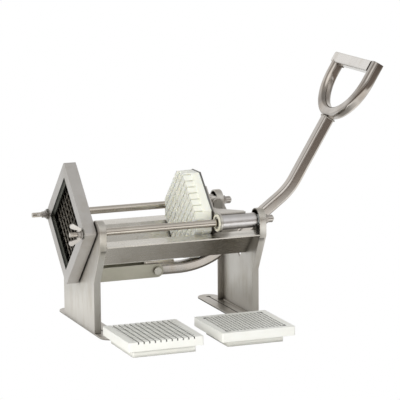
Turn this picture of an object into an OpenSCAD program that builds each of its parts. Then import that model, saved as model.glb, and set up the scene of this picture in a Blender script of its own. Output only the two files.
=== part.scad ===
// French fry cutter: a lever drives a carriage along two guide rods and
// pushes a potato, lying in a trough, through a diamond-set grid of blades.
// Millimetres. +X runs along the rods from the blades to the handle, -Y is the
// near side, +Z is up. The origin lies on the bench, midway between the four
// bench bolt holes.

/* [Stand] */
// Distance between the outer faces of the two legs
leg_span = 295; // [288:1:310]
// Height of the guide rods above the bench
rod_height = 176; // [174:1:190]
// Distance between the two guide rod axes
rod_spacing = 190; // [186:1:194]
// Thickness of the leg and foot sheet
sheet = 3; // [2:0.5:3.5]
// Half width of a leg below its flare
leg_half = 80; // [70:1:88]
// Height at which a leg starts to flare
bend_height = 88; // [70:1:100]
// Height at which the flare ends
arm_height = 152; // [140:1:156]
// Radius of the round arm ends around the rods
arm_r = 20; // [18:0.5:21]
// Depth of the leg's turned edges along X
flange_depth = 12; // [10:0.5:16]
// Half diagonal of the diamond throat in each leg
throat_half = 82; // [80:0.5:85]
// Depth of a foot along X
foot_depth = 38; // [32:1:44]
// Distance between the bolt holes of one foot
bolt_spacing = 210; // [190:1:220]
// Diameter of the bench bolt holes
bolt_hole_d = 8.5; // [6:0.5:11]

/* [Rods] */
// Diameter of the guide rods
rod_d = 12.7; // [12:0.1:13.5]
// Diameter of the threaded rod ends
stud_d = 8; // [6:0.5:9]
// Length of the near rod's threaded end in front of the blade frame
near_stud_out = 23; // [22:0.5:30]
// Length of the far rod's threaded end in front of the blade frame
far_stud_out = 27.5; // [22:0.5:30]
// Length of the threaded end behind the rear leg
tail_out = 16; // [13:0.5:18]
// Diameter of the cap nuts' domes at the rear
cap_nut_d = 13; // [12:0.5:14]
// Width over the corners of the cap nuts' hexagons
cap_hex_d = 16.5; // [15:0.5:18]
// Height of those hexagons
cap_hex_h = 9; // [7:0.5:11]
// Outer diameter of the washers under the wing nuts
washer_d = 18; // [16:0.5:19]
// Thickness of those washers
washer_t = 1.6; // [1:0.1:2.5]
// Diameter of the wing nut hub
wing_hub_d = 11; // [10:0.5:14]
// Height of the wing nut hub
wing_hub_h = 8; // [7:0.5:10]
// Reach of one wing from the axis
wing_reach = 19.5; // [17:0.5:20]
// Distance by which a wing's round tip leans forward
wing_lean = 17; // [14:0.5:18]
// Radius of a wing's tip
wing_tip_r = 4.5; // [4:0.25:5]
// Thickness of a wing
wing_t = 3.2; // [2.5:0.1:4]

/* [Blades] */
// Pitch of the blades, the width of a fry
blade_pitch = 12.7; // [12:0.1:13.2]
// Number of cells across the grid
cells = 8; // [6:2:8]
// Thickness of a blade
blade_t = 1; // [0.8:0.1:1.2]
// Width of a blade along X
blade_w = 24; // [23:0.5:26]
// Distance from a rod axis out to the sharp corner of the blade frame
frame_reach = 9.65; // [9:0.05:11]
// Thickness of the cartridge walls around the grid
cartridge_wall = 4.8; // [4:0.1:5]
// Depth to which the blade ends sit in the cartridge walls
blade_seat = 2; // [1:0.25:2.5]
// Depth of the blade frame along X
frame_depth = 22; // [20:0.5:26]
// Corner radius of the blade frame
frame_corner_r = 4; // [2:0.5:6]
// Depth of the rebate around the back of the blade frame
rebate_depth = 1.8; // [1:0.1:3]
// Width of that rebate
rebate_w = 4; // [2:0.5:6]
// Depth of the blade cartridge along X
cartridge_depth = 14; // [12:0.5:16]

/* [Trough] */
// Half diagonal of the trough's inner faces
trough_half = 94; // [93:0.5:96]
// Half width of the open slot along the bottom
slot_half = 26; // [25:0.5:30]
// Sheet thickness of the trough
trough_t = 2; // [1.5:0.25:2.5]
// Depth of the flat shelf below the rod axis
shelf_drop = 22; // [21:0.5:26]
// Height of the upright lip along the outer edge
lip_h = 10; // [8:0.5:12]

/* [Pusher] */
// Overhang of the square pusher block past the grid on each side
pusher_margin = 13.2; // [12:0.1:13.2]
// Distance from a rod axis in to the flat that cuts the pusher's corner
flat_gap = 22; // [21:0.5:24]
// Thickness of the pusher's solid plate
pusher_plate_t = 14; // [12:0.5:18]
// Length of the studs
stud_h = 15; // [14:0.5:16]
// Width of the grooves between the studs
groove_w = 2.4; // [2:0.1:3]
// Thickness of the steel backing plate
backing_t = 3; // [2:0.5:4]

/* [Carriage] */
// Thickness of the yoke plate
yoke_t = 4; // [3:0.5:5]
// How far the yoke's diamond stays inside the backing plate's edges
yoke_inset = 4; // [2:0.5:6]
// Outer diameter of the sliding sleeves
sleeve_d = 25.4; // [24:0.1:26]
// Length of the sleeves
sleeve_len = 63; // [55:0.5:63]
// Outer diameter of the bushes
bush_d = 18; // [16:0.5:20]
// Length of bush that stands out behind the sleeve
bush_tail = 9; // [4:0.5:9]
// Thickness of the bridge plate across the sleeves
bridge_t = 3; // [2:0.5:4]
// Length of the bridge plate along X
bridge_len = 46; // [42:0.5:52]
// Depth along X of the bridge plate's middle strip
bridge_strip = 11; // [8:0.5:14]
// Distance of a gusset's narrow end inside the rod axis
gusset_in = 10; // [6:0.5:14]
// Reach of the pivot arms' foot below the rod axes
arm_drop = 40; // [30:1:48]
// Reach of the pivot arms' foot above the bridge plate
arm_rise = 6; // [4:0.5:10]
// Thickness of the carriage's pivot arms
arm_t = 4; // [3:0.5:5]
// Outer diameter of the carriage's pivot barrel
barrel_d = 22; // [20:0.5:23]

/* [Lever] */
// Outer side of the square lever tube
tube = 20; // [18:0.5:20]
// Wall of the lever tube
tube_wall = 2; // [1.5:0.25:3]
// Edge radius of the lever tube
tube_edge_r = 2.5; // [1.5:0.25:3]
// Length of straight tube between elbow and first bend
lower_len = 41; // [36:1:44]
// Centreline radius of the lower bend
lower_bend_r = 145; // [140:1:150]
// Turn of the lower bend
lower_turn = 36.5; // [34:0.5:38]
// Length of straight tube between the bends
middle_len = 131.3; // [125:0.1:136]
// Centreline radius of the upper bend
upper_bend_r = 110; // [90:1:130]
// Turn of the upper bend
upper_turn = 22; // [18:0.5:26]
// Length of straight tube under the handle
upper_len = 119.3; // [110:0.1:130]
// Centreline radius of the handle bow
bow_r = 72; // [62:1:76]
// Length of the straight limbs of the bow
limb_len = 35; // [28:1:44]
// Thickness of the lever's pivot lugs
lug_t = 4; // [3:0.5:4]
// Radius of the lugs around the carriage pivot
lug_r = 10.5; // [9.5:0.5:12]
// Length of tube that a lug's foot covers
lug_foot_len = 44; // [36:1:50]
// Width of the half-round rib along the top of the lever's lower end
rib_d = 9; // [7:0.5:10]
// Length of the rib in front of the elbow
rib_lead = 18; // [12:0.5:22]
// Distance of the rib's rear end in front of the first bend
rib_short = 6; // [2:0.5:20]

/* [Link] */
// Distance of the elbow in front of the carriage pivot at rest
elbow_lead = 112; // [108:0.5:116]
// Distance of the carriage pivot in front of the rear leg's web
pivot_lead = 44.5; // [42:0.5:47]
// Height of the carriage pivot above the guide rods
pivot_rise = 15; // [12:0.5:18]
// Height of a link bar
link_h = 23; // [20:0.5:23]
// Thickness of a link bar
link_t = 4; // [3:0.5:5]
// Depth of the link pins below the guide rods
link_drop = 90.5; // [87:0.5:91]
// Distance of the front link pin behind the front leg's outer face
link_setback = 20.5; // [19:0.5:24]
// Diameter of the link pins
pin_d = 8; // [7:0.5:9]

/* [Spare pushers] */
// Place along X of the medium spare pusher
medium_x = -86; // [-90:1:-80]
// Gap between the front foot and the medium spare pusher
medium_gap = 5; // [4:0.5:10]
// Place along X of the fine spare pusher
fine_x = 75; // [70:1:90]
// Gap between the rear foot and the fine spare pusher
fine_gap = 3; // [2:0.5:10]
// Pitch of the medium spare pusher's studs
medium_pitch = 9.525; // [9:0.025:10]
// Pitch of the fine spare pusher's studs
fine_pitch = 6.35; // [6:0.05:6.6]
// Thickness of a spare pusher's plate
spare_plate_t = 15; // [13:0.5:16]
// Height of the boss under a spare pusher
spare_boss_h = 12; // [10:0.5:13]
// Depth of the grooves between the medium spare pusher's studs
medium_groove_h = 3.5; // [2:0.5:8]
// Depth of the grooves between the fine spare pusher's studs
fine_groove_h = 2.5; // [1.5:0.5:6]
// Side of the notches at the corners of the fine stud field
notch = 9; // [6:0.5:12]
// Depth of those notches
notch_h = 6; // [3:0.5:9]
// Corner radius of a spare pusher
spare_corner_r = 2.5; // [1:0.5:5]
// Width of the plain rim beside the stud field
spare_rim = 11; // [9:0.5:13]

/* [Fits] */
// Radial clearance of running fits
run_fit = 0.05; // [0.03:0.01:0.1]
// Gap between flat faces that slide past each other
face_gap = 0.4; // [0.3:0.1:0.6]
// Depth to which welded pieces are seated
seat = 0.3; // [0.2:0.05:0.4]

/* [Hidden] */
$fn = 64;

STEEL = "#c9c6c1";
DULL_STEEL = "#b3afa8";
NYLON = "#f1f0ea";
BRASS = "#b99b5c";

rod_y = rod_spacing / 2;
leg_x = leg_span / 2;
web_in_x = leg_x - sheet;
foot_x = leg_x - foot_depth / 2;
arm_half = rod_y + arm_r;
arm_in = rod_y - arm_r;
frame_front_x = -leg_x - frame_depth;
hole_clear = 0.2;
thread_gap = 0.15;

blade_span = cells * blade_pitch;
cartridge_fit = 0.15;
cartridge_side = blade_span + 2 * cartridge_wall;
frame_opening = cartridge_side + 2 * cartridge_fit;
frame_side = sqrt(2) * (rod_y + frame_reach);
pusher_side = blade_span + 2 * pusher_margin;
pusher_flat = rod_y - flat_gap;
cartridge_x = frame_front_x + 5;
blade_x = frame_front_x + 7;

// The carriage is laid out backwards from the rear leg, where it rests.
sleeve_rear_x = web_in_x - bush_tail - 0.5;
yoke_x = sleeve_rear_x - sleeve_len - yoke_t;
backing_x = yoke_x - backing_t;
pusher_face_x = backing_x - pusher_plate_t - stud_h;
bush_len = 18;
bush_flange_t = 3;
bush_mouth_d = bush_d + 2;
bush_flange_d = sleeve_d + 4;
ear_r = sleeve_d / 2 + bridge_t;

// Pivots, as [x, z].
link_height = rod_height - link_drop;
pivot = [web_in_x - pivot_lead, rod_height + pivot_rise];
anchor = [-leg_x + link_setback, link_height];
elbow = [pivot[0] - elbow_lead, link_height];
link_len = elbow[0] - anchor[0];

bar_y = tube / 2 + 1;
pivot_half = tube / 2 - face_gap;
link_washer_d = 15;
link_washer_t = 0.7;
pivot_pin_d = 12;
elbow_bush_d = 12;
bolt_head_d = 13;
bolt_head_h = 5.5;
bolt_end = 8;
nut_d = 14.3;
nut_h = 6.5;
pin_head_h = 3;
pivot_head_h = 2;
wing_foot_t = 2.5;
dome_d = 1.17 * cap_nut_d;

// Screws of the blade cartridge and of the pusher.
screw_d = 4;
screw_head_d = 8;
screw_head_h = 2.4;
pusher_screw_d = 4.2;
pusher_head_d = 9;
pusher_head_h = 3.5;
screw_clear = 0.3;
screw_in = cartridge_wall - blade_seat - 0.4;
plug_x = 4;
yoke_h = 104;
screw_y = 38;
screw_z = 30;
bend_steps = 16;

// Extrudes a [y, z] outline along X from x0.
module along_x(x0, len) {
    translate([x0, 0, 0]) rotate([90, 0, 90]) linear_extrude(len) children();
}

// Extrudes an [x, z] outline along Y from y0.
module along_y(y0, len) {
    translate([0, y0 + len, 0]) rotate([90, 0, 0]) linear_extrude(len) children();
}

// A round bar or hole along X.
module bar_x(d, x0, x1, y = 0, z = 0) {
    translate([x0, y, z]) rotate([0, 90, 0]) cylinder(h = x1 - x0, d = d);
}

// A round bar or hole along Y, at the [x, z] point p.
module bar_y(d, y0, y1, p) {
    translate([p[0], y1, p[1]]) rotate([90, 0, 0]) cylinder(h = y1 - y0, d = d);
}

// Places children at both rods.
module at_rods() {
    for (side = [-1, 1]) translate([0, side * rod_y, rod_height]) children();
}

// A square of side s with all four corners cut at distance flat from its centre,
// standing on one corner.
module diamond(s, flat) {
    intersection() {
        rotate(45) square(s, center = true);
        square(2 * flat, center = true);
    }
}

// A square with round corners, made of exact arcs.
module round_square(s, r) {
    square([s - 2 * r, s], center = true);
    square([s, s - 2 * r], center = true);
    for (x = [-1, 1], y = [-1, 1])
        translate([x * (s / 2 - r), y * (s / 2 - r)]) circle(r);
}

/* ---------- stand ---------- */

// Outline of a leg in [y, z], drawn in by inset along its sides and arm ends.
module leg_outline(inset) {
    low = leg_half - inset;
    high = arm_half - inset;
    polygon([
        [-low, sheet], [-low, bend_height], [-high, arm_height], [-high, rod_height],
        [high, rod_height], [high, arm_height], [low, bend_height], [low, sheet]
    ]);
    for (side = [-1, 1])
        translate([side * rod_y, rod_height]) circle(arm_r - inset);
}

// The throat between the arms, through which the food and the lever pass.
module leg_throat() {
    shoulder = rod_height - (throat_half - arm_in);
    top = rod_height + 2 * arm_r;
    polygon([
        [-arm_in, top], [-arm_in, shoulder], [0, rod_height - throat_half],
        [arm_in, shoulder], [arm_in, top]
    ]);
}

// A leg whose web starts at x0 and whose turned edges reach from web_x in the
// direction of flange_x.
module leg(web_x, flange_x) {
    difference() {
        union() {
            along_x(web_x, sheet) difference() {
                leg_outline(0);
                leg_throat();
            }
            along_x(flange_x, flange_depth - sheet + seat) difference() {
                leg_outline(0);
                leg_outline(sheet);
                leg_throat();
            }
        }
        at_rods() bar_x(stud_d + 2 * hole_clear, web_x - 1, web_x + sheet + 1);
    }
}

module front_leg() {
    color(STEEL) leg(-leg_x, -web_in_x - seat);
}

module rear_leg() {
    color(STEEL) leg(web_in_x, leg_x - flange_depth);
}

// A foot plate with full-round ends and two bench bolt holes.
module foot(x) {
    difference() {
        linear_extrude(sheet) translate([x, 0]) {
            square([foot_depth, bolt_spacing], center = true);
            for (side = [-1, 1]) translate([0, side * bolt_spacing / 2]) circle(d = foot_depth);
        }
        for (side = [-1, 1])
            translate([x, side * bolt_spacing / 2, -1]) cylinder(h = sheet + 2, d = bolt_hole_d);
    }
}

module front_foot() {
    color(DULL_STEEL) foot(-foot_x);
}

module rear_foot() {
    color(DULL_STEEL) foot(foot_x);
}

/* ---------- rods ---------- */

// A ground rod between the legs with a threaded stud at each end.
module guide_rod(stud_out) {
    bar_x(rod_d, -web_in_x, web_in_x);
    bar_x(stud_d, frame_front_x - stud_out, -web_in_x + 1);
    bar_x(stud_d, web_in_x - 1, leg_x + tail_out - 2);
}

module near_guide_rod() {
    color(STEEL) translate([0, -rod_y, rod_height]) guide_rod(near_stud_out);
}

module far_guide_rod() {
    color(STEEL) translate([0, rod_y, rod_height]) guide_rod(far_stud_out);
}

module rear_cap_nuts() {
    color(STEEL) at_rods() difference() {
        union() {
            translate([leg_x, 0, 0]) rotate([0, 90, 0])
                cylinder(h = cap_hex_h, d = cap_hex_d, $fn = 6);
            bar_x(cap_nut_d, leg_x, leg_x + tail_out);
            translate([leg_x + tail_out, 0, 0]) rotate([0, 90, 0])
                intersection() {
                    translate([0, 0, -(dome_d - cap_nut_d)]) sphere(d = dome_d);
                    cylinder(h = cap_nut_d, d = cap_nut_d);
                }
        }
        bar_x(stud_d + 2 * thread_gap, leg_x - 1, leg_x + tail_out - 1.5);
    }
}

module frame_washers() {
    color(STEEL) at_rods() difference() {
        bar_x(washer_d, frame_front_x - washer_t, frame_front_x);
        bar_x(stud_d + 2 * hole_clear, frame_front_x - washer_t - 1, frame_front_x + 1);
    }
}

// A wing nut about the X axis. Its wings lean forward from a flared foot and are
// spread by tilt from the rod's Z.
module wing_nut(tilt) {
    base_x = frame_front_x - washer_t - face_gap;
    tip = [base_x - wing_lean, wing_reach - wing_tip_r];
    hub_r = wing_hub_d / 2;
    front_x = base_x - wing_hub_h;
    difference() {
        union() {
            bar_x(wing_hub_d, front_x, base_x);
            bar_x(wing_hub_d + 3, base_x - wing_foot_t, base_x);
            rotate([tilt, 0, 0]) for (turn = [0, 180]) rotate([turn, 0, 0])
                along_y(-wing_t / 2, wing_t) {
                    polygon([
                        [base_x - wing_foot_t / 2, 0], [base_x - wing_foot_t / 2, hub_r],
                        [base_x - wing_foot_t, 2 * hub_r], tip + [0, wing_tip_r],
                        tip - [wing_tip_r, 0], tip - [0, wing_tip_r],
                        [front_x, tip[1] - wing_tip_r - wing_foot_t], [front_x, 0]
                    ]);
                    translate(tip) circle(wing_tip_r);
                }
        }
        bar_x(stud_d + 2 * run_fit, front_x - wing_hub_h, base_x + 1);
    }
}

module near_wing_nut() {
    color(STEEL) translate([0, -rod_y, rod_height]) wing_nut(12);
}

module far_wing_nut() {
    color(STEEL) translate([0, rod_y, rod_height]) wing_nut(80);
}

/* ---------- trough ---------- */

// One wing of the trough on the +Y side: sloping wall, flat shelf and upright
// lip. The wall runs on between the legs' webs, the lip between their edges.
module trough_wing() {
    shelf_z = rod_height - shelf_drop;
    knee_y = trough_half - shelf_drop;
    toe_z = rod_height - trough_half + slot_half;
    skew = trough_t * sqrt(2);
    edge_y = arm_half - sheet - 1.5;
    along_x(-web_in_x, 2 * web_in_x) polygon([
        [slot_half, toe_z], [knee_y, shelf_z], [edge_y, shelf_z],
        [edge_y, shelf_z - trough_t], [knee_y + skew - trough_t, shelf_z - trough_t],
        [slot_half + trough_t / sqrt(2), toe_z - trough_t / sqrt(2)]
    ]);
    along_x(-leg_x + flange_depth + face_gap, leg_span - 2 * (flange_depth + face_gap)) polygon([
        [edge_y - 1, shelf_z], [edge_y - 1, shelf_z - trough_t], [arm_half, shelf_z - trough_t],
        [arm_half, shelf_z + lip_h], [arm_half - trough_t, shelf_z + lip_h],
        [arm_half - trough_t, shelf_z]
    ]);
}

module near_trough_wing() {
    color(STEEL) mirror([0, 1, 0]) trough_wing();
}

module far_trough_wing() {
    color(STEEL) trough_wing();
}

/* ---------- blade frame ---------- */

// Children drawn about the rod plane's centre line, turned onto a corner.
module on_diamond(x0, len) {
    translate([0, 0, rod_height]) along_x(x0, len) rotate(45) children();
}

module blade_frame() {
    color(STEEL) difference() {
        union() {
            on_diamond(frame_front_x, frame_depth - rebate_depth) difference() {
                round_square(frame_side, frame_corner_r);
                square(frame_opening, center = true);
            }
            on_diamond(-leg_x - rebate_depth - seat, rebate_depth + seat) difference() {
                square(frame_side - 2 * rebate_w, center = true);
                square(frame_opening, center = true);
            }
        }
        at_rods() bar_x(stud_d + 2 * hole_clear, frame_front_x - 1, -leg_x + 1);
        for (corner = [225, 315]) cartridge_screw_at(corner)
            cylinder(h = frame_side, d = screw_d + screw_clear);
    }
}

// Places children at the middle of a frame side, +Z pointing outwards.
module cartridge_screw_at(corner) {
    translate([cartridge_x + cartridge_depth / 2, 0, rod_height]) rotate([corner, 0, 0])
        translate([0, 0, cartridge_side / 2]) children();
}

module blade_cartridge() {
    color(STEEL) difference() {
        on_diamond(cartridge_x, cartridge_depth) difference() {
            square(cartridge_side, center = true);
            square(blade_span, center = true);
        }
        on_diamond(blade_x - 1, cartridge_depth) blade_slots();
        on_diamond(blade_x - 1, cartridge_depth) rotate(90) blade_slots();
        for (corner = [225, 315]) cartridge_screw_at(corner)
            translate([0, 0, -screw_in - screw_clear])
                cylinder(h = frame_side, d = screw_d + screw_clear);
    }
}

// Slots that hold the ends of one set of blades.
module blade_slots() {
    for (i = [1:cells - 1])
        translate([i * blade_pitch - blade_span / 2, 0])
            square([blade_t + 0.1, blade_span + 2 * blade_seat + 0.2], center = true);
}

// One set of blades. The sets are notched half way at each crossing: this set
// keeps the part in front of the notches when front is true.
module blade_set(front) {
    half = blade_w / 2;
    notch_x = front ? blade_x + half : blade_x - 1;
    translate([0, 0, rod_height]) difference() {
        along_x(blade_x, blade_w) rotate(front ? 45 : -45)
            for (i = [1:cells - 1])
                translate([i * blade_pitch - blade_span / 2, 0])
                    square([blade_t, blade_span + 2 * blade_seat], center = true);
        along_x(notch_x, half + 1) rotate(front ? -45 : 45)
            for (i = [1:cells - 1])
                translate([i * blade_pitch - blade_span / 2, 0])
                    square([blade_t + 0.1, blade_span + 9], center = true);
    }
}

module rising_blades() {
    color(STEEL) blade_set(true);
}

module falling_blades() {
    color(STEEL) blade_set(false);
}

module cartridge_screws() {
    wall = (frame_side - cartridge_side) / 2;
    color(DULL_STEEL) for (corner = [225, 315]) cartridge_screw_at(corner) {
        translate([0, 0, -screw_in]) cylinder(h = wall + screw_in, d = screw_d);
        translate([0, 0, wall]) cylinder(h = screw_head_h, d = screw_head_d);
    }
}

/* ---------- carriage ---------- */

// Grooves at the given pitch across a face, centred so that one lies on the
// centre line, as the blades do.
module grooves(pitch, reach, len) {
    count = floor(reach / pitch);
    for (i = [-count:count])
        translate([i * pitch, 0]) square([groove_w, len], center = true);
}

module pusher_block() {
    color(NYLON) difference() {
        translate([0, 0, rod_height])
            along_x(pusher_face_x, stud_h + pusher_plate_t) diamond(pusher_side, pusher_flat);
        for (turn = [0, 90])
            on_diamond(pusher_face_x - 1, stud_h + 1) rotate(turn)
                grooves(blade_pitch, pusher_side / 2, pusher_side + 2);
        pusher_screw_holes(pusher_face_x + stud_h + 3);
    }
}

// Four holes that take the pusher screws, from x0 backwards.
module pusher_screw_holes(x0) {
    d = pusher_screw_d + screw_clear;
    for (turn = [0:90:270]) translate([0, 0, rod_height]) rotate([turn, 0, 0])
        bar_x(d, x0, yoke_x + yoke_t + 1, screw_y, screw_z);
}

module backing_plate() {
    color(DULL_STEEL) difference() {
        translate([0, 0, rod_height]) along_x(backing_x, backing_t)
            diamond(pusher_side + 2, pusher_flat + 1);
        pusher_screw_holes(backing_x - 1);
    }
}

// The yoke: a diamond plate with an ear around each sleeve.
module yoke_plate() {
    color(STEEL) difference() {
        translate([0, 0, rod_height]) along_x(yoke_x, yoke_t) {
            intersection() {
                diamond(pusher_side + 2 - 2 * yoke_inset, pusher_flat + 1);
                square([2 * rod_y, yoke_h], center = true);
            }
            square([2 * rod_y, 2 * ear_r], center = true);
            for (side = [-1, 1]) translate([side * rod_y, 0]) circle(ear_r);
        }
        at_rods() bar_x(bush_d + 0.1, yoke_x - 1, yoke_x + yoke_t + 1);
        pusher_screw_holes(yoke_x - 1);
    }
}

module pusher_screws() {
    color(DULL_STEEL) for (turn = [0:90:270]) translate([0, 0, rod_height]) rotate([turn, 0, 0]) {
        bar_x(pusher_screw_d, pusher_face_x + stud_h + 4, yoke_x + yoke_t, screw_y, screw_z);
        bar_x(pusher_head_d, yoke_x + yoke_t, yoke_x + yoke_t + pusher_head_h, screw_y, screw_z);
    }
}

module sleeve() {
    difference() {
        bar_x(sleeve_d, yoke_x + yoke_t, sleeve_rear_x);
        bar_x(bush_d + 0.1, yoke_x + yoke_t - 1, sleeve_rear_x + 1);
    }
}

module near_sleeve() {
    color(STEEL) translate([0, -rod_y, rod_height]) sleeve();
}

module far_sleeve() {
    color(STEEL) translate([0, rod_y, rod_height]) sleeve();
}

module front_bushes() {
    color(NYLON) at_rods() difference() {
        union() {
            bar_x(bush_flange_d, yoke_x - bush_flange_t, yoke_x);
            bar_x(bush_d, yoke_x - 1, yoke_x + bush_len);
        }
        bar_x(rod_d + 2 * run_fit, yoke_x - bush_flange_t - 1, yoke_x + bush_len + 1);
        bar_x(bush_mouth_d, yoke_x - bush_flange_t - 1, yoke_x - 0.8);
    }
}

module rear_bushes() {
    color(NYLON) at_rods() difference() {
        union() {
            bar_x(bush_d, sleeve_rear_x - bush_len, sleeve_rear_x + 0.5);
            bar_x(bush_d + 1, sleeve_rear_x, sleeve_rear_x + bush_tail);
        }
        bar_x(rod_d + 2 * run_fit, sleeve_rear_x - bush_len - 1, sleeve_rear_x + bush_tail + 1);
    }
}

// The bridge lies on both sleeves. It is a narrow strip between them and
// widens to a gusset over each.
module bridge_plate() {
    x0 = yoke_x + yoke_t;
    tip = x0 + bridge_len;
    slant = bridge_len - bridge_strip;
    side = rod_y - gusset_in;
    color(STEEL) translate([0, 0, rod_height + sleeve_d / 2]) linear_extrude(bridge_t)
        polygon([
            [x0, -rod_y], [tip, -rod_y], [tip, -side], [x0 + bridge_strip, slant - side],
            [x0 + bridge_strip, side - slant], [tip, side], [tip, rod_y], [x0, rod_y]
        ]);
}

// Two arms behind the yoke carry a barrel between the lever's lugs.
module pivot_arms() {
    x0 = yoke_x + yoke_t;
    under = rod_height + sleeve_d / 2;
    color(STEEL) difference() {
        union() {
            for (y0 = [-pivot_half + 1, pivot_half - 1 - arm_t]) along_y(y0, arm_t) difference() {
                polygon([
                    [x0, rod_height - arm_drop], [x0, under + bridge_t + arm_rise],
                    pivot + [0, barrel_d / 2],
                    pivot + [barrel_d / 2, 0], pivot + [barrel_d / 3, -barrel_d / 3]
                ]);
                translate([x0 - 1, under]) square([bridge_strip + 1, bridge_t]);
            }
            bar_y(barrel_d, -pivot_half, pivot_half, pivot);
        }
        bar_y(pivot_pin_d + 3, -tube, tube, pivot);
    }
}

// The bush in the barrel stays empty, because the pivot is the linkage's open
// joint: the bolts end in the lever's lugs.
module pivot_bush() {
    color(BRASS) difference() {
        bar_y(pivot_pin_d + 3, -pivot_half, pivot_half, pivot);
        bar_y(pivot_pin_d + 2 * run_fit, -tube, tube, pivot);
    }
}

/* ---------- link ---------- */

// The bracket is a block welded to the front leg's web.
module link_bracket() {
    color(STEEL) difference() {
        along_y(-tube / 2, tube) {
            translate([-web_in_x, link_height - link_h / 2])
                square([anchor[0] + web_in_x, link_h]);
            translate(anchor) circle(d = link_h);
        }
        bar_y(pin_d, -tube, tube, anchor);
    }
}

module anchor_pin() {
    reach = bar_y + link_t + face_gap;
    color(DULL_STEEL) {
        bar_y(pin_d, -reach, reach, anchor);
        for (y0 = [-reach - pin_head_h, reach]) bar_y(bolt_head_d, y0, y0 + pin_head_h, anchor);
    }
}

// A flat bar with round ends from the anchor pin to the elbow bolt.
module link_bar(y0) {
    difference() {
        along_y(y0, link_t) {
            translate([anchor[0], link_height - link_h / 2]) square([link_len, link_h]);
            for (p = [anchor, elbow]) translate(p) circle(d = link_h);
        }
        bar_y(pin_d + 2 * run_fit, y0 - 1, y0 + link_t + 1, anchor);
        bar_y(pin_d, y0 - 1, y0 + link_t + 1, elbow);
    }
}

module near_link_bar() {
    color(STEEL) link_bar(-bar_y - link_t);
}

module far_link_bar() {
    color(STEEL) link_bar(bar_y);
}

// Thin washers keep the bars off the bracket and the lever.
module link_washers() {
    washer_mid = bar_y - link_washer_t / 2;
    color(NYLON) difference() {
        for (p = [anchor, elbow], side = [-1, 1])
            bar_y(link_washer_d, side * washer_mid - link_washer_t / 2,
                side * washer_mid + link_washer_t / 2, p);
        for (p = [anchor, elbow]) bar_y(pin_d + 2 * run_fit, -tube, tube, p);
    }
}

module elbow_bolt() {
    color(DULL_STEEL) {
        bar_y(pin_d, -bar_y - link_t - 0.5, bar_y + link_t + bolt_end, elbow);
        bar_y(bolt_head_d, -bar_y - link_t - bolt_head_h, -bar_y - link_t, elbow);
    }
}

module elbow_nut() {
    color(DULL_STEEL) difference() {
        translate([elbow[0], bar_y + link_t + nut_h, elbow[1]]) rotate([90, 0, 0])
            cylinder(h = nut_h, d = nut_d, $fn = 6);
        bar_y(pin_d, bar_y, bar_y + link_t + bolt_end, elbow);
    }
}

/* ---------- lever ---------- */

// Section of the square tube.
module tube_section() {
    difference() {
        round_square(tube, tube_edge_r);
        square(tube - 2 * tube_wall, center = true);
    }
}

// Straight tube along +X.
module straight(len) {
    rotate([90, 0, 90]) linear_extrude(len) tube_section();
}

// The lever's centre line runs straight, bends up, runs straight, bends up again
// and ends straight under the handle. These are the ends of its stretches.
function bend_start() = [elbow[0] + lower_len, elbow[1]];
function bend_end() =
    bend_start() + lower_bend_r * [sin(lower_turn), 1 - cos(lower_turn)];
function rise_end() = bend_end() + middle_len * [cos(lower_turn), sin(lower_turn)];
function top_angle() = lower_turn + upper_turn;
function curve_end() =
    rise_end() + upper_bend_r
        * [sin(top_angle()) - sin(lower_turn), cos(lower_turn) - cos(top_angle())];

// Points along a bend of centreline radius r that starts at point p, at a
// distance off to the inside of the centre line.
function bend_points(p, r, from, to, off) = [
    for (i = [0:bend_steps])
        let (a = from + (to - from) * i / bend_steps)
            p + r * [-sin(from), cos(from)] + (r - off) * [sin(a), -cos(a)]
];

// One side of the lever in [x, z], from the elbow end to the top.
function lever_side(off, tail, top) = concat(
    [[elbow[0] - tail, elbow[1] + off]],
    bend_points(bend_start(), lower_bend_r, 0, lower_turn, off),
    bend_points(rise_end(), upper_bend_r, lower_turn, top_angle(), off),
    [curve_end() + off * [-sin(top_angle()), cos(top_angle())]
        + (upper_len + top) * [cos(top_angle()), sin(top_angle())]]
);

// Outline of the lever between two parallel sides.
module lever_outline(half, tail, top) {
    near_side = lever_side(-half, tail, top);
    far_side = lever_side(half, tail, top);
    polygon(concat(near_side, [for (i = [len(far_side) - 1:-1:0]) far_side[i]]));
}

// Moves children to the top of the lever tube, +X running along it.
module at_lever_top() {
    top = curve_end() + upper_len * [cos(top_angle()), sin(top_angle())];
    translate([top[0], 0, top[1]]) rotate([0, -top_angle(), 0]) children();
}

module lever_tube() {
    inner = tube - 2 * tube_wall;
    color(STEEL) difference() {
        along_y(-tube / 2, tube) lever_outline(tube / 2, plug_x, 2);
        along_y(-inner / 2, inner) lever_outline(inner / 2, plug_x + 1, 3);
        at_lever_top() translate([bow_r + tube / 2, 0, -tube])
            cylinder(h = 2 * tube, r = bow_r + tube / 2, $fn = 180);
        bar_y(elbow_bush_d, -tube, tube, elbow);
    }
}

// A round-nosed plug closes the lower end of the tube.
module lever_end_plug() {
    core = tube - 2 * tube_wall - 0.1;
    x0 = elbow[0] - plug_x;
    color(DULL_STEEL) difference() {
        union() {
            along_y(-tube / 2, tube) intersection() {
                translate(elbow) circle(d = tube);
                translate([x0 - tube, elbow[1] - tube]) square([tube, 2 * tube]);
            }
            translate([x0 - 0.5, -core / 2, elbow[1] - core / 2]) cube([core, core, core]);
        }
        bar_y(elbow_bush_d, -tube, tube, elbow);
    }
}

module elbow_bush() {
    color(BRASS) difference() {
        bar_y(elbow_bush_d, -tube / 2, tube / 2, elbow);
        bar_y(pin_d + 2 * run_fit, -tube, tube, elbow);
    }
}

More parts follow.
